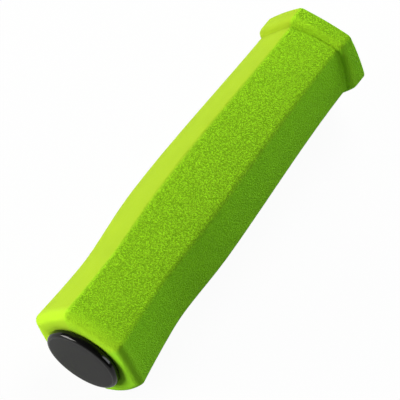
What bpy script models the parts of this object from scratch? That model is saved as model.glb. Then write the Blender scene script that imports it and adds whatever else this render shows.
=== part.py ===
"""Foam handlebar grip: a six-sided foam sleeve and the push-in plug that closes its outer end.

The grip lies on one of its flats with its length along X. The plugged end points to -X and the
flange to +X. Past the plug the soft sleeve has taken a slight sideways set. Sizes are in metres.
"""

import math

import bmesh
import bpy
from mathutils import Vector
from mathutils.geometry import interpolate_bezier

# Sleeve, measured along its length from the end face that the plug sits on
SLEEVE_LENGTH = 0.1300
BORE_RADIUS = 0.0105  # relaxed, it stretches over a bar of 22.2 mm
BORE_CHAMFER = 0.0005
CORNER_RADIUS = 0.0018  # the six long edges
CROWN = 0.00035  # rise of each side from its edges to its middle
PRESSED_SIDE = 3  # lower side that swells out more round the plug
END_SWELL = 0.0008
END_SWELL_REACH = 0.0120

# Foam between the bore and a side, crown left out
SHOULDER_WALL = 0.00575
WAIST_WALL = 0.0041
BELLY_WALL = 0.00505
NECK_WALL = 0.0033
FLANGE_WALL = 0.0050

# Stations of the outline
END_ROUND_LENGTH = 0.0026
END_ROUND_DROP = 0.0021
WAIST_X = 0.0262
BELLY_X = 0.0518
FLANGE_LENGTH = 0.0043
STEP_LENGTH = 0.0028  # from the neck up to the flange
NECK_BLEND = 0.0003
FLANGE_ROUND = 0.0010  # the outer rim of the flange
STEP_WAVE = 0.0011  # the soft step runs a little to and fro round the sleeve
WAVE_TURN = math.radians(110)  # heading round the axis where it is nearest to the flange's end
WAVE_REACH = 0.0140

# Reach of the spline handles, as a share of the run to the next station
SHOULDER_HANDLE = 0.35
WAIST_HANDLE_IN = 0.22
WAIST_HANDLE_OUT = 0.28
BELLY_HANDLE_IN = 0.38
BELLY_HANDLE_OUT = 0.30
NECK_HANDLE = 0.34
STEP_LEAVE = 0.15
STEP_CLIMB = 0.60  # share of the rise that the step's first handle takes
STEP_ARRIVE = 0.50
SHOULDER_SLOPE = -0.098  # of the wall, per unit of length

# Sideways set of the soft sleeve, which grows from beyond the plug to the flange
SIDE_SET = 0.0034
SET_START = 0.0235

# Push-in plug
SEAT_GAP = 0.0003  # between the head and the foam
HEAD_LIP = 0.0015  # reach of the head past the bore
HEAD_THICKNESS = 0.0025
HEAD_ROUND = 0.0010
SHANK_LENGTH = 0.0150
SHANK_WALL = 0.0016
SHANK_LEAD = 0.0012  # taper at the tip
FIN_CLEARANCE = 0.0003  # between the fins and the bore
FIN_HEIGHT = 0.0022
FIN_ROOT = 0.0016
FIN_TIP = 0.0006
FIN_PITCH = 0.0032
FIRST_FIN = 0.0030
FIN_COUNT = 3

# Facets
CORNER_STEPS = 4
FLAT_STEPS = 5
ROUND_STEPS = 5
SHORT_RUN_STEPS = 5
LONG_RUN_STEPS = 11
STEP_STEPS = 6
PLUG_STEPS = 48

FOAM_COLOR = (0.330, 0.560, 0.028, 1.0)
PLUG_COLOR = (0.012, 0.012, 0.013, 1.0)


def clear_scene():
    """Remove every object, so that the script can run again in an open file."""
    for old in list(bpy.data.objects):
        bpy.data.objects.remove(old, do_unlink=True)


def make_material(name, color, roughness):
    """Return a Principled material with one colour and one roughness."""
    material = bpy.data.materials.new(name)
    material.use_nodes = True
    shader = material.node_tree.nodes["Principled BSDF"]
    shader.inputs["Base Color"].default_value = color
    shader.inputs["Roughness"].default_value = roughness
    shader.inputs["Metallic"].default_value = 0.0
    material.diffuse_color = color
    return material


def set_point(point):
    """Move a point of the straight sleeve by the sideways set at its place along the length."""
    run = max(0.0, point.x - SET_START) / (SLEEVE_LENGTH - SET_START)
    return point - Vector((0.0, SIDE_SET * run**2, 0.0))


def side_crown(x, side):
    """Return the rise of one side at its middle, with the swell of the pressed side near the plug."""
    swell = END_SWELL * max(0.0, 1 - x / END_SWELL_REACH) ** 2
    return CROWN + swell if side == PRESSED_SIDE else CROWN


def wave_step(point):
    """Move a point along the length by its share of the wave in the step up to the flange."""
    neck_x = SLEEVE_LENGTH - FLANGE_LENGTH - STEP_LENGTH
    if point.x < neck_x:
        share = max(0.0, 1 - (neck_x - point.x) / WAVE_REACH)
    else:
        share = (SLEEVE_LENGTH - point.x) / (SLEEVE_LENGTH - neck_x)
    heading = math.atan2(point.z, point.y)
    return point + Vector((STEP_WAVE * share * math.cos(2 * (heading - WAVE_TURN)), 0.0, 0.0))


def hexagon_ring(x, apothem):
    """Return the points of a round-cornered hexagon square to X, with a crowned side on top."""
    core = (apothem - CORNER_RADIUS) / math.cos(math.pi / 6)
    ring = []
    for corner in range(6):
        heading = corner * math.pi / 3
        centre = Vector((x, core * math.cos(heading), core * math.sin(heading)))
        for step in range(CORNER_STEPS + 1):
            turn = heading + (step / CORNER_STEPS - 0.5) * math.pi / 3
            ring.append(centre + CORNER_RADIUS * Vector((0, math.cos(turn), math.sin(turn))))
        following = heading + math.pi / 3
        next_centre = Vector((x, core * math.cos(following), core * math.sin(following)))
        normal = heading + math.pi / 6
        outward = Vector((0, math.cos(normal), math.sin(normal)))
        for step in range(1, FLAT_STEPS):
            share = step / FLAT_STEPS
            rise = CORNER_RADIUS + side_crown(x, corner) * 4 * share * (1 - share)
            ring.append(centre.lerp(next_centre, share) + rise * outward)
    return ring


def round_ring(x, radius):
    """Return a circle square to X, with its points at the angles of the hexagon's points."""
    ring = []
    for point in hexagon_ring(x, BORE_RADIUS + FLANGE_WALL):
        heading = math.atan2(point.z, point.y)
        ring.append(Vector((x, radius * math.cos(heading), radius * math.sin(heading))))
    return ring


def spline_run(start, start_handle, end_handle, end, steps):
    """Return points (x, wall) along one spline, without its first one."""
    knots = [Vector((x, wall, 0)) for x, wall in (start, start_handle, end_handle, end)]
    return [(p.x, p.y) for p in interpolate_bezier(*knots, steps + 1)[1:]]


def grip_outline():
    """Return (x, wall) from the plugged end face to the end face of the flange."""
    shoulder = (END_ROUND_LENGTH, SHOULDER_WALL)
    waist = (WAIST_X, WAIST_WALL)
    belly = (BELLY_X, BELLY_WALL)
    rim = (SLEEVE_LENGTH - FLANGE_LENGTH, FLANGE_WALL)
    neck = (rim[0] - STEP_LENGTH, NECK_WALL)

    # Round end that the plug sits in
    outline = []
    for step in range(ROUND_STEPS + 1):
        turn = step / ROUND_STEPS * math.pi / 2
        x = END_ROUND_LENGTH * (1 - math.cos(turn))
        outline.append((x, SHOULDER_WALL - END_ROUND_DROP * (1 - math.sin(turn))))

    # Waist, belly and the long taper to the neck
    run = waist[0] - shoulder[0]
    first_handle = (shoulder[0] + SHOULDER_HANDLE * run, shoulder[1] + SHOULDER_SLOPE * SHOULDER_HANDLE * run)
    last_handle = (waist[0] - WAIST_HANDLE_IN * run, waist[1])
    outline += spline_run(shoulder, first_handle, last_handle, waist, SHORT_RUN_STEPS)
    run = belly[0] - waist[0]
    first_handle = (waist[0] + WAIST_HANDLE_OUT * run, waist[1])
    last_handle = (belly[0] - BELLY_HANDLE_IN * run, belly[1])
    outline += spline_run(waist, first_handle, last_handle, belly, SHORT_RUN_STEPS)
    run = neck[0] - belly[0]
    first_handle = (belly[0] + BELLY_HANDLE_OUT * run, belly[1])
    last_handle = (neck[0] - NECK_HANDLE * run, neck[1])
    outline += spline_run(belly, first_handle, last_handle, neck, LONG_RUN_STEPS)

    # Step up to the flange: a crisp foot, then a swell that eases into the rim
    rise = Vector((STEP_LEAVE * STEP_LENGTH, STEP_CLIMB * (FLANGE_WALL - NECK_WALL)))
    foot = (neck[0] + rise.normalized().x * NECK_BLEND, neck[1] + rise.normalized().y * NECK_BLEND)
    outline[-1] = (neck[0] - NECK_BLEND, neck[1])
    outline += spline_run(outline[-1], neck, neck, foot, 2)
    first_handle = (foot[0] + rise.x, foot[1] + rise.y)
    outline += spline_run(foot, first_handle, (rim[0] - STEP_ARRIVE * STEP_LENGTH, rim[1]), rim, STEP_STEPS)
    for step in range(ROUND_STEPS + 1):
        turn = step / ROUND_STEPS * math.pi / 2
        x = SLEEVE_LENGTH - FLANGE_ROUND * (1 - math.sin(turn))
        outline.append((x, FLANGE_WALL - FLANGE_ROUND * (1 - math.cos(turn))))
    return outline


def sleeve_rings():
    """Return every ring of the sleeve: the outside from end to end, then back through the bore."""
    outside = grip_outline()
    rings = [[wave_step(point) for point in hexagon_ring(x, BORE_RADIUS + wall)] for x, wall in outside]
    bore_ends = SLEEVE_LENGTH - BORE_CHAMFER, BORE_CHAMFER
    rings.append(round_ring(SLEEVE_LENGTH, BORE_RADIUS + BORE_CHAMFER))
    rings.append(round_ring(bore_ends[0], BORE_RADIUS))
    for step in range(1, LONG_RUN_STEPS):
        x = bore_ends[0] + (bore_ends[1] - bore_ends[0]) * step / LONG_RUN_STEPS
        rings.append(round_ring(x, BORE_RADIUS))
    rings.append(round_ring(bore_ends[1], BORE_RADIUS))
    rings.append(round_ring(0.0, BORE_RADIUS + BORE_CHAMFER))
    return rings


def build_sleeve(material):
    """Skin ring to ring into one closed tube that follows the sideways set."""
    mesh = bmesh.new()
    loops = [[mesh.verts.new(set_point(point)) for point in ring] for ring in sleeve_rings()]
    for loop, following in zip(loops, loops[1:] + loops[:1]):
        turned_loop = loop[1:] + loop[:1]
        turned_following = following[1:] + following[:1]
        for corners in zip(loop, following, turned_following, turned_loop):
            mesh.faces.new(corners)
    return finish_object("foam_sleeve", mesh, material)


def plug_profile():
    """Return (x, radius) round half of the plug's section, from the axis outside to the axis inside."""
    head_radius = BORE_RADIUS + HEAD_LIP
    fin_radius = BORE_RADIUS - FIN_CLEARANCE
    shank_radius = fin_radius - FIN_HEIGHT
    inner_radius = shank_radius - SHANK_WALL
    profile = [(-HEAD_THICKNESS, 0.0)]
    for step in range(ROUND_STEPS + 1):
        turn = step / ROUND_STEPS * math.pi / 2
        x = -HEAD_THICKNESS + HEAD_ROUND * (1 - math.cos(turn))
        profile.append((x, head_radius - HEAD_ROUND * (1 - math.sin(turn))))
    profile.append((0.0, head_radius))
    profile.append((0.0, shank_radius))

    # Soft fins that lean back towards the head, so that they slide in and hold
    for fin in range(FIN_COUNT):
        start = FIRST_FIN + fin * FIN_PITCH
        profile.append((start, shank_radius))
        profile.append((start - FIN_TIP / 2, fin_radius))
        profile.append((start + FIN_TIP / 2, fin_radius))
        profile.append((start + FIN_ROOT, shank_radius))

    # Open tip and the hollow inside of the shank
    profile.append((SHANK_LENGTH - SHANK_LEAD, shank_radius))
    profile.append((SHANK_LENGTH, shank_radius - SHANK_LEAD / 2))
    profile.append((SHANK_LENGTH, inner_radius))
    profile.append((0.0, inner_radius))
    profile.append((0.0, 0.0))
    return profile


def build_plug(material):
    """Spin the section of the plug round its axis and seat its head on the sleeve's end."""
    mesh = bmesh.new()
    points = [mesh.verts.new((x, radius, 0.0)) for x, radius in plug_profile()]
    edges = [mesh.edges.new(pair) for pair in zip(points, points[1:])]
    bmesh.ops.spin(
        mesh,
        geom=points + edges,
        cent=(0, 0, 0),
        axis=(1, 0, 0),
        angle=2 * math.pi,
        steps=PLUG_STEPS,
        use_merge=True,
    )
    bmesh.ops.remove_doubles(mesh, verts=mesh.verts, dist=0.00001)
    plug = finish_object("end_plug", mesh, material)
    plug.location.x = -SEAT_GAP
    return plug


def finish_object(name, mesh, material):
    """Turn the faces outward, write the mesh to a new object and shade it smooth."""
    bmesh.ops.recalc_face_normals(mesh, faces=mesh.faces)
    data = bpy.data.meshes.new(name)
    mesh.to_mesh(data)
    mesh.free()
    data.materials.append(material)
    data.shade_smooth()
    data.set_sharp_from_angle(angle=math.radians(35))
    obj = bpy.data.objects.new(name, data)
    bpy.context.collection.objects.link(obj)
    return obj


def stand_on_ground(pieces):
    """Parent the pieces to an empty that centres them over the origin and rests them on Z = 0."""
    root = bpy.data.objects.new("grip", None)
    bpy.context.collection.objects.link(root)
    for piece in pieces:
        piece.parent = root
    bpy.context.view_layer.update()
    corners = [piece.matrix_world @ vertex.co for piece in pieces for vertex in piece.data.vertices]
    lowest = Vector([min(corner[axis] for corner in corners) for axis in range(3)])
    highest = Vector([max(corner[axis] for corner in corners) for axis in range(3)])
    middle = (lowest + highest) / 2
    root.location = (-middle.x, -middle.y, -lowest.z)
    bpy.context.view_layer.update()


def main():
    """Build the sleeve and its plug."""
    clear_scene()
    sleeve = build_sleeve(make_material("lime_foam", FOAM_COLOR, 0.85))
    plug = build_plug(make_material("black_plastic", PLUG_COLOR, 0.38))
    stand_on_ground([sleeve, plug])


main()
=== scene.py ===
"""Looks of a foam handlebar grip: the soft six-sided sleeve, its push-in plug and the studio.

Every piece is modelled in metres where it lies: along X, plug to -X and flange to +X, on Z = 0.
"""

import logging
import math
from dataclasses import dataclass
from enum import Enum
from typing import Any, Mapping, Sequence

import bmesh
import bpy
from mathutils import Euler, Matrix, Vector, noise
from mathutils.geometry import interpolate_bezier


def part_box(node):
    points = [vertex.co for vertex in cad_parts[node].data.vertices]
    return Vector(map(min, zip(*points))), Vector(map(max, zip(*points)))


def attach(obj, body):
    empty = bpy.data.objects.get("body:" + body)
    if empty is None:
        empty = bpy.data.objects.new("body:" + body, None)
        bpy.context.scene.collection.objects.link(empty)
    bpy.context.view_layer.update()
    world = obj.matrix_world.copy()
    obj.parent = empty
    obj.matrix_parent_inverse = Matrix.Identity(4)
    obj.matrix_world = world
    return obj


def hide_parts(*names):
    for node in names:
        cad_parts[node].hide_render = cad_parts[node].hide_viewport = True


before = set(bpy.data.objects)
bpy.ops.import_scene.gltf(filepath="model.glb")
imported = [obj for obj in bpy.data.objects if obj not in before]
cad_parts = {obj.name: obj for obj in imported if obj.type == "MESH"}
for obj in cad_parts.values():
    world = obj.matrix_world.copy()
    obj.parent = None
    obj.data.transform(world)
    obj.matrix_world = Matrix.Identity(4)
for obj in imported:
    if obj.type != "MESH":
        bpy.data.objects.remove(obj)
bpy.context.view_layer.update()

MM = 0.001
MERGE = 0.001 * MM

Color = tuple[float, float, float, float]
Stops = tuple[tuple[float, float], ...]
Band = tuple[float, float, float, float]

log = logging.getLogger("grip")


class Sum(Enum):
    """The operations that shader arithmetic uses."""

    ADD = "ADD"
    SUBTRACT = "SUBTRACT"
    MULTIPLY = "MULTIPLY"
    DIVIDE = "DIVIDE"
    MAXIMUM = "MAXIMUM"
    ARCTAN2 = "ARCTAN2"


class Blend(Enum):
    """Ways of laying one colour over another."""

    MIX = "MIX"
    MULTIPLY = "MULTIPLY"


class Channel:
    """A number that changes over a surface, on which Python arithmetic adds Math nodes."""

    def __init__(self, recipe: "Recipe", socket: bpy.types.NodeSocket) -> None:
        """Wrap one output.

        Args:
            recipe: the node tree that the output is in.
            socket: the output itself.
        """
        self.recipe = recipe
        self.socket = socket

    def _sum(self, kind: Sum, first: Any, second: Any) -> "Channel":
        """Add one Math node.

        Args:
            kind: the operation.
            first: its first term.
            second: its second term.

        Returns:
            The node's value.
        """
        return self.recipe.value("ShaderNodeMath", {"operation": kind.value}, {0: first, 1: second})

    def __add__(self, other: Any) -> "Channel":
        """Return self + other."""
        return self._sum(Sum.ADD, self, other)

    def __radd__(self, other: Any) -> "Channel":
        """Return other + self."""
        return self._sum(Sum.ADD, other, self)

    def __sub__(self, other: Any) -> "Channel":
        """Return self - other."""
        return self._sum(Sum.SUBTRACT, self, other)

    def __rsub__(self, other: Any) -> "Channel":
        """Return other - self."""
        return self._sum(Sum.SUBTRACT, other, self)

    def __mul__(self, other: Any) -> "Channel":
        """Return self * other."""
        return self._sum(Sum.MULTIPLY, self, other)

    def __rmul__(self, other: Any) -> "Channel":
        """Return other * self."""
        return self._sum(Sum.MULTIPLY, other, self)

    def __truediv__(self, other: Any) -> "Channel":
        """Return self / other."""
        return self._sum(Sum.DIVIDE, self, other)

    def at_least(self, least: float) -> "Channel":
        """Return self, or the least value where self is below it."""
        return self._sum(Sum.MAXIMUM, self, least)

    def turn_from(self, ahead: "Channel") -> "Channel":
        """Return the angle, in radians, of a point that is self to the side and this far ahead."""
        return self._sum(Sum.ARCTAN2, self, ahead)


class Recipe:
    """The node tree of a material or of the world."""

    MIX_SHARE = 0
    MIX_FIRST = 6
    MIX_SECOND = 7
    MIX_RESULT = 2

    def __init__(self, owner: bpy.types.ID) -> None:
        """Start from an empty tree.

        Args:
            owner: the material or the world that the tree belongs to.
        """
        owner.use_nodes = True
        self.owner = owner
        self.tree = owner.node_tree
        self.tree.nodes.clear()

    def node(
        self,
        kind: str,
        settings: Mapping[str, Any] | None = None,
        inputs: Mapping[str | int, Any] | None = None,
    ) -> bpy.types.Node:
        """Add any node.

        Args:
            kind: the node's type.
            settings: its own options, set first; "stops" gives a ramp's positions and greys.
            inputs: a value, a Channel or an output for each socket, by name or number.

        Returns:
            The new node.
        """
        made = self.tree.nodes.new(kind)
        for name, option in (settings or {}).items():
            if name == "stops":
                self._set_stops(made.color_ramp, option)
            else:
                setattr(made, name, option)
        for name, given in (inputs or {}).items():
            source = given.socket if isinstance(given, Channel) else given
            if isinstance(source, bpy.types.NodeSocket):
                self.tree.links.new(source, made.inputs[name])
            else:
                made.inputs[name].default_value = source
        return made

    def value(
        self,
        kind: str,
        settings: Mapping[str, Any] | None = None,
        inputs: Mapping[str | int, Any] | None = None,
        output: str | int = 0,
    ) -> Channel:
        """Add a node and take one number from it.

        Args:
            kind: the node's type.
            settings: its own options.
            inputs: its sockets' values or links.
            output: the output to take.

        Returns:
            That output.
        """
        return Channel(self, self.node(kind, settings, inputs).outputs[output])

    def axes(self, place: bpy.types.NodeSocket) -> list[Channel]:
        """Split a place or a direction.

        Args:
            place: the vector to split.

        Returns:
            Its X, Y and Z.
        """
        split = self.node("ShaderNodeSeparateXYZ", None, {"Vector": place})
        return [Channel(self, output) for output in split.outputs]

    def mix(
        self, share: Any, first: Any, second: Any, blend: Blend = Blend.MIX
    ) -> bpy.types.NodeSocket:
        """Lay one colour over another.

        Args:
            share: how much of the second one shows.
            first: the colour below.
            second: the colour on top.
            blend: the way they meet.

        Returns:
            The blended colour.
        """
        made = self.node(
            "ShaderNodeMix",
            {"data_type": "RGBA", "blend_type": blend.value},
            {self.MIX_SHARE: share, self.MIX_FIRST: first, self.MIX_SECOND: second},
        )
        return made.outputs[self.MIX_RESULT]

    def ramp(self, factor: Channel, stops: Stops) -> Channel:
        """Bend a number through a ramp of greys.

        Args:
            factor: the number that goes in.
            stops: positions and greys.

        Returns:
            The grey that comes out.
        """
        return self.value("ShaderNodeValToRGB", {"stops": stops}, {"Fac": factor})

    def band(
        self, factor: Channel, edges: Band, inside: float = 1.0, outside: float = 0.0
    ) -> Channel:
        """Give a stretch of a number a value of its own, with soft edges.

        Args:
            factor: the number that goes in.
            edges: where the stretch begins, is full, is full for the last time and ends.
            inside: the value on the stretch.
            outside: the value before and after it.

        Returns:
            The value.
        """
        begin, full, last, end = edges
        stops = ((begin, outside), (full, inside), (last, inside), (end, outside))
        return self.ramp(factor, stops)

    def seen(self, glossy_share: float) -> Channel:
        """Pick the rays that find a white room, apart from those that light the grip.

        Args:
            glossy_share: how white the room is in a reflection.

        Returns:
            1 for the camera and through glass, the share in a reflection, and otherwise 0.
        """
        path = self.node("ShaderNodeLightPath")
        seen = Channel(self, path.outputs["Is Camera Ray"])
        seen = seen + glossy_share * Channel(self, path.outputs["Is Glossy Ray"])
        return seen + Channel(self, path.outputs["Is Transmission Ray"])

    def finish(
        self, shader: bpy.types.Node, target: str = "ShaderNodeOutputMaterial"
    ) -> bpy.types.ID:
        """Show a shader on the surface.

        Args:
            shader: the last shader of the tree.
            target: the type of output node.

        Returns:
            The material or world that the tree belongs to.
        """
        self.node(target, None, {"Surface": shader.outputs[0]})
        return self.owner

    @staticmethod
    def _set_stops(ramp: bpy.types.ColorRamp, stops: Stops) -> None:
        """Give a ramp its stops.

        Args:
            ramp: the ramp to fill.
            stops: positions and greys, from left to right.
        """
        while len(ramp.elements) < len(stops):
            ramp.elements.new(1.0)
        for element, (place, grey) in zip(ramp.elements, stops):
            element.position = place
            element.color = (grey, grey, grey, 1.0)


@dataclass(frozen=True)
class SkinPlace:
    """Where a point of the sleeve's skin is, in the terms that the foam's finish uses."""

    turned: bpy.types.NodeSocket
    side: Channel
    length: Channel
    end: Channel
    step: Channel


@dataclass(frozen=True)
class FoamFinish:
    """Matt, fine-celled foam with a pebbled skin, its grain smoother on +Y, with light and shade
    painted into its colour.

    Bands round the sleeve are shares of a turn: 0.25 faces -Y, 0.5 faces up and 0.75 faces +Y.
    Colours are those of the pebbles and of the pits, which also hold painted shade, of painted light
    on the lit +Y side and on the plugged end and step, and of a painted shade tint on the -Y side.
    """

    crest_color: Color = (0.432, 0.885, 0.010, 1.0)
    # The pit colour is the foam's own grain tone with painted shade of the hollows in it
    pit_color_and_shade: Color = (0.200, 0.470, 0.003, 1.0)
    # Painted light: a paler, yellower colour on the lit +Y side
    lit_side_color: Color = (0.350, 0.520, 0.014, 1.0)
    # Painted light: a lighter, yellower colour on the plugged end and the step, which face the lamp
    lit_end_color: Color = (0.485, 0.880, 0.020, 1.0)
    # Painted shade: a greener, slightly darker tint on the -Y side, away from the lamps
    shaded_side_tint: Color = (0.79, 0.98, 1.0, 1.0)
    lit_side_band: Band = (0.581, 0.591, 0.90, 0.92)
    shaded_side_band: Band = (0.09, 0.11, 0.405, 0.42)
    lit_end_stops: Stops = ((0.20, 0.65), (0.75, 0.0))
    lit_step_tone: float = 0.3

    patch: float = 9.0 * MM
    patch_detail: float = 2.0
    patch_low: Color = (0.93, 0.95, 0.93, 1.0)
    patch_high: Color = (1.05, 1.03, 1.05, 1.0)

    pebble: float = 0.30 * MM
    pebble_detail: float = 1.0
    pebble_roughness: float = 0.5
    pebble_share: float = 0.75
    cell: float = 0.60 * MM
    cell_smoothness: float = 0.5
    pit_stops: Stops = ((0.40, 1.0), (0.60, 0.0))
    grain_turn: tuple[float, float, float] = (0.62, 0.41, 0.23)
    relief: float = 0.36 * MM
    even_pits: float = 0.5

    minus_y_grain: float = 0.45
    minus_y_grain_band: Band = (0.09, 0.11, 0.40, 0.43)
    plus_y_grain: float = 0.30
    plus_y_grain_band: Band = (0.575, 0.592, 0.90, 0.92)
    end_grain: Stops = ((0.15, 0.25), (1.0, 1.0))
    length_grain: Stops = ((0.10, 0.85), (0.35, 1.0), (0.65, 1.0), (0.90, 0.82))
    step_smoothing: float = 0.4

    end_x: float = -66.0 * MM
    # Reach of the end zone, where the grain eases and the painted end light fades out
    end_skin_and_light: float = 9.0 * MM
    step_x: float = 58.7 * MM
    step_skin: float = 3.8 * MM
    step_band: Band = (0.0, 0.25, 0.75, 1.0)
    reach: float = 132.8 * MM
    axis_z: float = 16.6 * MM
    set_x: float = -42.5 * MM
    set_slope: float = 0.031

    roughness: float = 0.78
    pit_roughness: float = 0.12
    gloss: float = 0.12
    sheen: float = 0.03
    sheen_roughness: float = 0.6
    sheen_tint: Color = (0.85, 1.0, 0.45, 1.0)

    def make(self) -> bpy.types.Material:
        """Return the foam's material."""
        recipe = Recipe(bpy.data.materials.new("lime_foam_skin"))
        at = self._place(recipe)
        pits = self._pits(recipe, at)
        grain = self._grain(recipe, at)
        bump = recipe.node(
            "ShaderNodeBump",
            None,
            {"Strength": 1.0, "Distance": self.relief, "Height": (1 - pits) * grain},
        )
        shader = recipe.node(
            "ShaderNodeBsdfPrincipled",
            None,
            {
                "Base Color": self._color(recipe, at, pits, grain),
                "Roughness": self.roughness + self.pit_roughness * pits,
                "Specular IOR Level": self.gloss,
                "Sheen Weight": self.sheen,
                "Sheen Roughness": self.sheen_roughness,
                "Sheen Tint": self.sheen_tint,
                "Normal": bump.outputs["Normal"],
            },
        )
        return recipe.finish(shader)

    def _place(self, recipe: Recipe) -> SkinPlace:
        """Work out where the surface is on the sleeve.

        Args:
            recipe: the foam's node tree.

        Returns:
            Turned coordinates, the share of a turn round the sleeve's axis, the share of the length
            and of the end's skin counted from the plug, and 1 on the step up to the flange.
        """
        straight = recipe.node("ShaderNodeTexCoord").outputs["Object"]
        turned = recipe.node(
            "ShaderNodeMapping", None, {"Vector": straight, "Rotation": self.grain_turn}
        )
        along, across, up = recipe.axes(straight)
        across = across + self.set_slope * along.at_least(self.set_x)
        return SkinPlace(
            turned=turned.outputs[0],
            side=across.turn_from(up - self.axis_z) / math.tau + 0.5,
            length=along / self.reach + 0.5,
            end=(along - self.end_x) / self.end_skin_and_light,
            step=recipe.band((along - self.step_x) / self.step_skin, self.step_band),
        )

    def _pits(self, recipe: Recipe, at: SkinPlace) -> Channel:
        """Pebble the skin and let the foam's cells show in it.

        Args:
            recipe: the foam's node tree.
            at: where the surface is on the sleeve.

        Returns:
            1 in the pits and 0 on the pebbles.
        """
        pebbles = recipe.value(
            "ShaderNodeTexNoise",
            None,
            {
                "Vector": at.turned,
                "Scale": 1 / self.pebble,
                "Detail": self.pebble_detail,
                "Roughness": self.pebble_roughness,
            },
        )
        cells = recipe.value(
            "ShaderNodeTexVoronoi",
            {"feature": "SMOOTH_F1"},
            {"Vector": at.turned, "Scale": 1 / self.cell, "Smoothness": self.cell_smoothness},
            "Distance",
        )
        skin = self.pebble_share * pebbles + (1 - self.pebble_share) * (1 - cells)
        return recipe.ramp(skin, self.pit_stops)

    def _grain(self, recipe: Recipe, at: SkinPlace) -> Channel:
        """Smooth the grain on two sides of the sleeve, toward its ends and on the step.

        Args:
            recipe: the foam's node tree.
            at: where the surface is on the sleeve.

        Returns:
            How much of the grain is left, 1 for all of it.
        """
        grain = recipe.band(at.side, self.minus_y_grain_band, self.minus_y_grain, 1.0)
        grain = grain * recipe.band(at.side, self.plus_y_grain_band, self.plus_y_grain, 1.0)
        grain = grain * recipe.ramp(at.end, self.end_grain)
        grain = grain * recipe.ramp(at.length, self.length_grain)
        return grain * (1 - self.step_smoothing * at.step)

    def _color(
        self, recipe: Recipe, at: SkinPlace, pits: Channel, grain: Channel
    ) -> bpy.types.NodeSocket:
        """Colour the pebbles and pits with painted shade in the pits, paint light on the lit +Y side,
        the end and the step, paint shade on the -Y side, and lay the patches.

        Args:
            recipe: the foam's node tree.
            at: where the surface is on the sleeve.
            pits: 1 in the pits and 0 on the pebbles.
            grain: how much of the grain is left.

        Returns:
            The foam's colour.
        """
        # The pits are darker partly as painted shade in the hollows of the grain
        pitted = (pits - self.even_pits) * grain + self.even_pits
        color = recipe.mix(pitted, self.crest_color, self.pit_color_and_shade)
        # Painted light: the lit +Y side takes a paler, yellower colour, as the lamp falls on it
        lit_side_share = recipe.band(at.side, self.lit_side_band)
        color = recipe.mix(lit_side_share, color, self.lit_side_color)
        # Painted light on the plugged end and on the step up to the flange, where the lamp falls on
        # them
        end_skin_and_light = recipe.ramp(at.end, self.lit_end_stops) + self.lit_step_tone * at.step * (1 - lit_side_share)
        color = recipe.mix(end_skin_and_light, color, self.lit_end_color)
        # Painted shade: the -Y side, away from the lamps, is tinted greener and slightly darker
        painted_shade_share = recipe.band(at.side, self.shaded_side_band)
        color = recipe.mix(painted_shade_share, color, self.shaded_side_tint, Blend.MULTIPLY)
        patches = recipe.value(
            "ShaderNodeTexNoise",
            None,
            {"Vector": at.turned, "Scale": 1 / self.patch, "Detail": self.patch_detail},
        )
        shade = recipe.mix(patches, self.patch_low, self.patch_high)
        return recipe.mix(1.0, color, shade, Blend.MULTIPLY)


@dataclass(frozen=True)
class PlugFinish:
    """Moulded black plastic: a satin face inside a glossy rim."""

    axis: tuple[float, float]
    face_radius: float
    color: Color = (0.004, 0.004, 0.004, 1.0)
    speck_color: Color = (0.007, 0.007, 0.007, 1.0)
    speck_share: float = 0.5
    speck: float = 0.22 * MM
    speck_detail: float = 2.0
    speck_roughness: float = 0.04
    relief: float = 0.012 * MM
    relief_strength: float = 0.35
    rim_start: float = 0.488
    rim_full: float = 0.500
    rim_roughness: float = 0.10
    face_roughness: float = 0.42
    gloss: float = 0.28

    def make(self) -> bpy.types.Material:
        """Return the plug's material."""
        recipe = Recipe(bpy.data.materials.new("black_moulding"))
        place = recipe.node("ShaderNodeTexCoord").outputs["Object"]
        rim = self._rim(recipe, place)
        specks = recipe.value(
            "ShaderNodeTexNoise",
            None,
            {"Vector": place, "Scale": 1 / self.speck, "Detail": self.speck_detail},
        )
        bump = recipe.node(
            "ShaderNodeBump",
            None,
            {
                "Strength": self.relief_strength,
                "Distance": self.relief,
                "Height": specks * (1 - rim),
            },
        )
        smoothing = self.face_roughness - self.rim_roughness
        shader = recipe.node(
            "ShaderNodeBsdfPrincipled",
            None,
            {
                "Base Color": recipe.mix(specks * self.speck_share, self.color, self.speck_color),
                "Roughness": self.face_roughness - rim * smoothing + specks * self.speck_roughness,
                "Specular IOR Level": self.gloss,
                "Normal": bump.outputs["Normal"],
            },
        )
        return recipe.finish(shader)

    def _rim(self, recipe: Recipe, place: bpy.types.NodeSocket) -> Channel:
        """Tell the plug's rounded rim from its face.

        Args:
            recipe: the plug's node tree.
            place: Object coordinates.

        Returns:
            1 on the rim and 0 on the face.
        """
        centre = (0.0, -self.axis[0], -self.axis[1])
        centred = recipe.node("ShaderNodeMapping", None, {"Vector": place, "Location": centre})
        flat = recipe.node(
            "ShaderNodeVectorMath",
            {"operation": "MULTIPLY"},
            {0: centred.outputs[0], 1: (0.0, 1.0, 1.0)},
        )
        radius = recipe.value(
            "ShaderNodeVectorMath", {"operation": "LENGTH"}, {0: flat.outputs[0]}, "Value"
        )
        share = radius / self.face_radius * self.rim_full
        return recipe.ramp(share, ((self.rim_start, 0.0), (self.rim_full, 1.0)))


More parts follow.
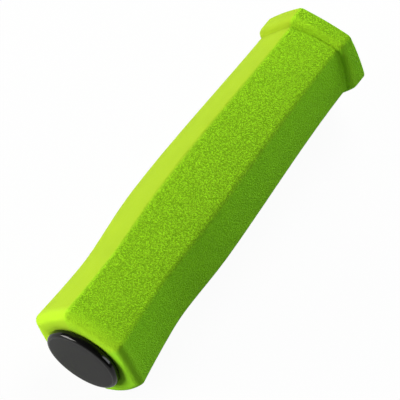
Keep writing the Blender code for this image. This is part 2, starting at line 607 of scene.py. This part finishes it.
@dataclass(frozen=True)
class FloorFinish:
    """Pale paper, which the camera sees as white with a faint shadow on it."""

    color: Color = (0.55, 0.55, 0.55, 1.0)
    fibre_color: Color = (0.58, 0.58, 0.58, 1.0)
    fibres_per_metre: float = 60.0
    fibre_detail: float = 3.0
    white: Color = (1.0, 1.0, 1.0, 1.0)
    glow: float = 1.02
    glow_share: float = 0.94
    glossy_share: float = 0.42

    def make(self) -> bpy.types.Material:
        """Return the floor's material."""
        recipe = Recipe(bpy.data.materials.new("white_floor"))
        place = recipe.node("ShaderNodeTexCoord").outputs["Object"]
        fibre = recipe.value(
            "ShaderNodeTexNoise",
            None,
            {"Vector": place, "Scale": self.fibres_per_metre, "Detail": self.fibre_detail},
        )
        tone = recipe.mix(fibre, self.color, self.fibre_color)
        paper = recipe.node("ShaderNodeBsdfDiffuse", None, {"Color": tone})
        glow = recipe.node("ShaderNodeEmission", None, {"Color": self.white, "Strength": self.glow})
        share = recipe.seen(self.glossy_share) * self.glow_share
        blend = recipe.node(
            "ShaderNodeMixShader", None, {0: share, 1: paper.outputs[0], 2: glow.outputs[0]}
        )
        return recipe.finish(blend)


def make_piece(
    name: str, mesh: bmesh.types.BMesh, finish: bpy.types.Material
) -> bpy.types.Object:
    """Write a mesh to a new object at the origin.

    Args:
        name: the piece's name.
        mesh: its shape, which is freed.
        finish: its material.

    Returns:
        The new object, shaded smooth.
    """
    data = bpy.data.meshes.new(name)
    mesh.to_mesh(data)
    mesh.free()
    data.materials.append(finish)
    data.shade_smooth()
    piece = bpy.data.objects.new(name, data)
    bpy.context.collection.objects.link(piece)
    return piece


@dataclass
class FoamSleeve:
    """The soft sleeve: six crowned sides, a waist, a belly and a flange, round an open bore.

    A wall is the foam between the bore and the middle of a side. A leave or an arrive is how far
    the first or last handle of a curve in the outline reaches, as a share of the curve's stretch.
    """

    start: Vector
    length: float = 130.0 * MM
    sides: int = 6
    bore_radius: float = 10.5 * MM
    bore_chamfer: float = 0.5 * MM
    corner_radius: float = 1.8 * MM
    crown: float = 0.35 * MM
    pressed_side: int = 3
    end_swell: float = 0.8 * MM
    end_swell_reach: float = 12.0 * MM

    shoulder_wall: float = 5.75 * MM
    shoulder_slope: float = -0.098
    shoulder_leave: float = 0.35
    waist_x: float = 26.2 * MM
    waist_wall: float = 4.1 * MM
    waist_arrive: float = 0.22
    waist_leave: float = 0.28
    belly_x: float = 51.8 * MM
    belly_wall: float = 5.05 * MM
    belly_arrive: float = 0.38
    belly_leave: float = 0.30
    neck_wall: float = 3.3 * MM
    neck_arrive: float = 0.34
    neck_blend: float = 0.3 * MM
    step_length: float = 2.8 * MM
    step_leave: tuple[float, float] = (0.15, 0.60)
    step_arrive: float = 0.5
    flange_length: float = 4.3 * MM
    flange_wall: float = 5.0 * MM
    flange_round: float = 1.0 * MM
    end_round_length: float = 2.6 * MM
    end_round_drop: float = 2.1 * MM

    step_wave: float = 1.1 * MM
    wave_turn: float = math.radians(110)
    wave_reach: float = 14.0 * MM
    side_set: float = 3.4 * MM
    set_start: float = 23.5 * MM

    pitch: float = 0.40 * MM
    least_steps: int = 3
    round_steps: int = 8
    bore_rings: int = 40
    around: int = 240
    corner_crowding: float = 0.07

    relief: float = 0.05 * MM
    relief_size: float = 1.6 * MM
    relief_share: float = 0.35
    relief_sink: float = 0.45
    ripple_fineness: float = 2.1
    ripple_share: float = 0.5
    bore_margin: float = 1.5 * MM

    def _stretch(
        self,
        start: Sequence[float],
        leave: Sequence[float],
        arrive: Sequence[float],
        end: Sequence[float],
    ) -> list[tuple[float, float]]:
        """Draw one smooth stretch of the outline.

        Args:
            start: its first point, station and wall.
            leave: its first handle.
            arrive: its last handle.
            end: its last point.

        Returns:
            Its points without the first one, about one pitch apart.
        """
        knots = [Vector((*knot, 0.0)) for knot in (start, leave, arrive, end)]
        steps = max(self.least_steps, round((knots[3] - knots[0]).length / self.pitch))
        return [(point.x, point.y) for point in interpolate_bezier(*knots, steps + 1)[1:]]

    def _quarter(
        self, end_face: float, inward: float, length: float, drop: float
    ) -> list[tuple[float, float]]:
        """Round the foam's edge from an end face to a side.

        Args:
            end_face: station of the end face.
            inward: 1 where the sleeve runs to +X from it, -1 where it runs to -X.
            length: how far the round goes along the sleeve.
            drop: how far it goes down the end face.

        Returns:
            Points (station, drop below the side), from the end face to the side.
        """
        points = []
        for step in range(self.round_steps + 1):
            turn = step / self.round_steps * math.pi / 2
            station = end_face + inward * length * (1 - math.cos(turn))
            points.append((station, drop * (1 - math.sin(turn))))
        return points

    def outline(self) -> list[tuple[float, float]]:
        """Return (station, wall) from the plugged end face to the end face of the flange."""
        nose = self._quarter(0.0, 1.0, self.end_round_length, self.end_round_drop)
        points = [(station, self.shoulder_wall - drop) for station, drop in nose]
        rim = (self.length - self.flange_length, self.flange_wall)
        neck = (rim[0] - self.step_length, self.neck_wall)
        waist = (self.waist_x, self.waist_wall)
        belly = (self.belly_x, self.belly_wall)

        shoulder = points[-1]
        run = waist[0] - shoulder[0]
        fall = self.shoulder_slope * self.shoulder_leave * run
        leave = (shoulder[0] + self.shoulder_leave * run, shoulder[1] + fall)
        arrive = (waist[0] - self.waist_arrive * run, waist[1])
        points += self._stretch(shoulder, leave, arrive, waist)

        run = belly[0] - waist[0]
        leave = (waist[0] + self.waist_leave * run, waist[1])
        arrive = (belly[0] - self.belly_arrive * run, belly[1])
        points += self._stretch(waist, leave, arrive, belly)

        run = neck[0] - belly[0]
        before = (neck[0] - self.neck_blend, neck[1])
        leave = (belly[0] + self.belly_leave * run, belly[1])
        arrive = (neck[0] - self.neck_arrive * run, neck[1])
        points += self._stretch(belly, leave, arrive, before)

        # The step up to the flange, crisp at its foot and soft at its rim
        height = self.flange_wall - self.neck_wall
        rise = Vector((self.step_leave[0] * self.step_length, self.step_leave[1] * height))
        foot = Vector(neck) + self.neck_blend * rise.normalized()
        points += self._stretch(before, neck, neck, foot)
        arrive = (rim[0] - self.step_arrive * self.step_length, rim[1])
        points += self._stretch(foot, foot + rise, arrive, rim)
        back = self._quarter(self.length, -1.0, self.flange_round, self.flange_round)
        edge = [(station, self.flange_wall - drop) for station, drop in reversed(back)]
        points += self._stretch(rim, rim, edge[0], edge[0])[:-1]
        return points + edge

    def _skin_reach(self, station: float, heading: float, wall: float) -> float:
        """Return how far the six-sided skin is from the axis.

        Args:
            station: place along the sleeve.
            heading: angle round the axis, 0 on a corner.
            wall: foam between the bore and the side.

        Returns:
            The distance from the axis to the skin.
        """
        half_side = math.pi / self.sides
        apothem = self.bore_radius + wall
        core = (apothem - self.corner_radius) / math.cos(half_side)
        side, turned = divmod(heading, 2 * half_side)
        off_side = turned - half_side
        along = apothem * math.tan(off_side)
        if abs(along) < core / 2:
            swell = 0.0
            if int(side) % self.sides == self.pressed_side:
                swell = self.end_swell * max(0.0, 1 - station / self.end_swell_reach) ** 2
            share = 0.5 + along / core
            return (apothem + (self.crown + swell) * 4 * share * (1 - share)) / math.cos(off_side)
        off_corner = half_side - abs(off_side)
        beside = core * math.sin(off_corner)
        return core * math.cos(off_corner) + math.sqrt(self.corner_radius**2 - beside**2)

    def _wave(self, station: float, heading: float) -> float:
        """Return how far the step's wave moves a point along the sleeve.

        Args:
            station: place along the sleeve.
            heading: angle round the axis.

        Returns:
            The distance along X.
        """
        neck = self.length - self.flange_length - self.step_length
        share = max(0.0, 1 - (neck - station) / self.wave_reach)
        if station > neck:
            share = (self.length - station) / (self.length - neck)
        return self.step_wave * share * math.cos(2 * (heading - self.wave_turn))

    def _middle(self, station: float) -> Vector:
        """Return the middle of the bore at a station, sideways set included."""
        run = max(0.0, station - self.set_start) / (self.length - self.set_start)
        return self.start + Vector((station, -self.side_set * run**2, 0.0))

    def _rings(self) -> list[tuple[float, float | None, float]]:
        """List the rings of the sleeve: those of the outline, then back through the bore.

        Returns:
            Station, wall and radius of each ring. One of the skin has a wall and no radius yet,
            one of the bore has no wall, and the last ring is the first one again.
        """
        rings = [(station, wall, 0.0) for station, wall in self.outline()]
        mouth = self.bore_radius + self.bore_chamfer
        far, near = self.length - self.bore_chamfer, self.bore_chamfer
        rings.append((self.length, None, mouth))
        for ring in range(self.bore_rings + 1):
            station = far + (near - far) * ring / self.bore_rings
            rings.append((station, None, self.bore_radius))
        rings.append((0.0, None, mouth))
        return rings + rings[:1]

    def build(self) -> bpy.types.Object:
        """Return the sleeve: a grid rolled round the bore and turned inside through it."""
        rings = self._rings()
        runs = len(rings) - 1

        # The grid is one unit long and wide, with its middle at the origin
        mesh = bmesh.new()
        bmesh.ops.create_grid(mesh, x_segments=runs, y_segments=self.around, size=0.5)
        for vertex in mesh.verts:
            station, wall, reach = rings[round((vertex.co.x + 0.5) * runs)]
            heading = 2 * math.pi * round((vertex.co.y + 0.5) * self.around) / self.around
            crowding = self.corner_crowding * math.sin(self.sides * heading)
            heading = (heading - crowding) % (2 * math.pi)
            along = station
            if wall is not None:
                reach = self._skin_reach(station, heading, wall)
                along += self._wave(station, heading)
            spoke = Vector((0.0, math.cos(heading), math.sin(heading)))
            vertex.co = self._middle(along) + reach * spoke
        bmesh.ops.remove_doubles(mesh, verts=mesh.verts, dist=MERGE)
        bmesh.ops.recalc_face_normals(mesh, faces=mesh.faces)
        self._soften(mesh)
        return make_piece("foam_sleeve_skin", mesh, FoamFinish().make())

    def _soften(self, mesh: bmesh.types.BMesh) -> None:
        """Sink the outer skin a little here and there, as foam does.

        Args:
            mesh: the sleeve.
        """
        mesh.normal_update()
        for vertex in mesh.verts:
            middle = self._middle(vertex.co.x - self.start.x)
            spoke = math.hypot(vertex.co.y - middle.y, vertex.co.z - middle.z)
            if spoke < self.bore_radius + self.bore_margin:
                continue
            place = vertex.co / self.relief_size
            swell = noise.noise(place) + self.ripple_share * noise.noise(place * self.ripple_fineness)
            vertex.co += vertex.normal * self.relief * (self.relief_share * swell - self.relief_sink)


@dataclass
class EndPlug:
    """The push-in plug: a round head on a hollow shank with three soft fins."""

    seat: Vector
    bore_radius: float = 10.5 * MM
    head_lip: float = 1.5 * MM
    head_thickness: float = 2.5 * MM
    head_round: float = 1.0 * MM
    head_chamfer: float = 0.25 * MM
    face_ring: float = 0.6
    shank_length: float = 15.0 * MM
    shank_wall: float = 1.6 * MM
    shank_lead: float = 1.2 * MM
    fin_clearance: float = 0.3 * MM
    fin_height: float = 2.2 * MM
    fin_root: float = 1.6 * MM
    fin_tip: float = 0.6 * MM
    fin_pitch: float = 3.2 * MM
    first_fin: float = 3.0 * MM
    fin_count: int = 3
    round_steps: int = 10
    around: int = 144
    crease: float = math.radians(38)

    def section(self) -> list[Vector]:
        """Return half the section, from the middle of the face to the end of the blind hollow."""
        head = self.bore_radius + self.head_lip
        fins = self.bore_radius - self.fin_clearance
        shank = fins - self.fin_height
        inner = shank - self.shank_wall
        face = -self.head_thickness
        lead = self.shank_length - self.shank_lead

        points = [(face, 0.0), (face, self.face_ring * head)]
        for step in range(self.round_steps + 1):
            turn = step / self.round_steps * math.pi / 2
            station = face + self.head_round * (1 - math.cos(turn))
            points.append((station, head - self.head_round * (1 - math.sin(turn))))
        points += [(-self.head_chamfer, head), (0.0, head - self.head_chamfer), (0.0, shank)]
        for fin in range(self.fin_count):
            root = self.first_fin + fin * self.fin_pitch
            points += [(root, shank), (root - self.fin_tip / 2, fins)]
            points += [(root + self.fin_tip / 2, fins), (root + self.fin_root, shank)]
        points += [(lead, shank), (self.shank_length, shank - self.shank_lead / 2)]
        points += [(self.shank_length, inner), (0.0, inner), (0.0, 0.0)]
        return [self.seat + Vector((station, radius, 0.0)) for station, radius in points]

    def build(self) -> bpy.types.Object:
        """Return the plug, spun round its axis."""
        mesh = bmesh.new()
        points = [mesh.verts.new(point) for point in self.section()]
        edges = [mesh.edges.new(pair) for pair in zip(points, points[1:])]
        bmesh.ops.spin(
            mesh,
            geom=points + edges,
            cent=self.seat,
            axis=(1, 0, 0),
            angle=2 * math.pi,
            steps=self.around,
            use_merge=True,
        )
        bmesh.ops.remove_doubles(mesh, verts=mesh.verts, dist=MERGE)
        bmesh.ops.recalc_face_normals(mesh, faces=mesh.faces)
        face_radius = self.bore_radius + self.head_lip - self.head_round
        finish = PlugFinish(axis=(self.seat.y, self.seat.z), face_radius=face_radius)
        piece = make_piece("end_plug_moulding", mesh, finish.make())
        piece.data.set_sharp_from_angle(angle=self.crease)
        return piece


@dataclass(frozen=True)
class Softbox:
    """One flat studio lamp that looks at the middle of the grip."""

    name: str
    heading: tuple[float, float, float]
    distance: float
    size: tuple[float, float]
    watts: float
    color: tuple[float, float, float]

    def light(self) -> None:
        """Hang the lamp and turn it to the grip."""
        data = bpy.data.lights.new(self.name, "AREA")
        data.shape = "RECTANGLE"
        data.size, data.size_y = self.size
        data.energy = self.watts
        data.color = self.color
        lamp = bpy.data.objects.new(self.name, data)
        toward = Vector(self.heading).normalized()
        lamp.location = toward * self.distance
        lamp.rotation_euler = toward.to_track_quat("Z", "Y").to_euler()
        bpy.context.collection.objects.link(lamp)


@dataclass
class Studio:
    """Pale floor, soft lamps and the camera that looks down along the grip from its plug."""

    camera_place: tuple[float, float, float] = (-0.287973, -0.092495, 0.597808)
    camera_turn: tuple[float, float, float] = (0.463434, -0.121163, -1.020543)
    lens: float = 194.869
    sensor_width: float = 36.0
    clip_start: float = 0.01
    floor_reach: float = 4.0
    floor_segments: int = 8
    sky_low: float = 0.045
    sky_high: float = 0.025
    sky_high_place: float = 0.75
    sky_glossy_share: float = 0.04
    lamps: tuple[Softbox, ...] = (
        Softbox("end_box", (-0.63, 0.755, 0.19), 0.85, (0.62, 0.46), 11.4, (1.0, 0.97, 0.94)),
        Softbox("side_strip", (0.21, -0.85, 0.47), 0.46, (0.11, 0.22), 0.35, (0.95, 0.98, 1.0)),
        Softbox("back_box", (0.72, 0.20, 0.66), 1.00, (0.60, 0.50), 10.7, (0.96, 1.0, 0.97)),
    )

    def build(self) -> None:
        """Set up everything round the grip."""
        self._floor()
        self._sky()
        self._camera()
        for lamp in self.lamps:
            lamp.light()

    def _floor(self) -> None:
        """Lay the floor that the grip lies on."""
        mesh = bmesh.new()
        segments = self.floor_segments
        bmesh.ops.create_grid(mesh, x_segments=segments, y_segments=segments, size=self.floor_reach)
        floor = make_piece("floor", mesh, FloorFinish().make())

    def _sky(self) -> None:
        """Light the room softly, and show it white to the camera."""
        recipe = Recipe(bpy.data.worlds.new("studio_room"))
        direction = recipe.node("ShaderNodeTexCoord").outputs["Generated"]
        _, _, height = recipe.axes(direction)
        tone = recipe.ramp(height, ((0.0, self.sky_low), (self.sky_high_place, self.sky_high)))
        seen = recipe.seen(self.sky_glossy_share)
        shine = recipe.node(
            "ShaderNodeBackground", None, {"Color": tone + seen * (1 - tone), "Strength": 1.0}
        )
        bpy.context.scene.world = recipe.finish(shine, "ShaderNodeOutputWorld")

    def _camera(self) -> None:
        """Set up the camera and the plain view transform."""
        data = bpy.data.cameras.new("camera")
        data.sensor_width = self.sensor_width
        data.lens = self.lens
        data.clip_start = self.clip_start
        camera = bpy.data.objects.new("camera", data)
        camera.location = self.camera_place
        camera.rotation_euler = Euler(self.camera_turn, "XYZ")
        bpy.context.collection.objects.link(camera)
        bpy.context.scene.camera = camera
        bpy.context.scene.view_settings.view_transform = "Standard"


def main() -> None:
    """Build the grip's pieces and the studio, and keep the sizes."""
    logging.basicConfig(level=logging.INFO, format="%(name)s: %(message)s")
    sleeve_low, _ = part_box("foam_sleeve")
    plug_low, plug_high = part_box("end_plug")
    axis = (Vector(plug_low) + Vector(plug_high)) / 2
    Studio().build()

    sleeve = FoamSleeve(start=Vector((sleeve_low[0], axis.y, axis.z))).build()
    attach(sleeve, "root")
    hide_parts("foam_sleeve")
    log.info("%s: %d faces", sleeve.name, len(sleeve.data.polygons))

    plug_shape = EndPlug(seat=Vector((0.0, axis.y, axis.z)))
    plug_shape.seat.x = plug_low[0] + plug_shape.head_thickness
    plug = plug_shape.build()
    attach(plug, "root")
    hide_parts("end_plug")
    log.info("%s: %d faces", plug.name, len(plug.data.polygons))


if __name__ == "__main__":
    main()
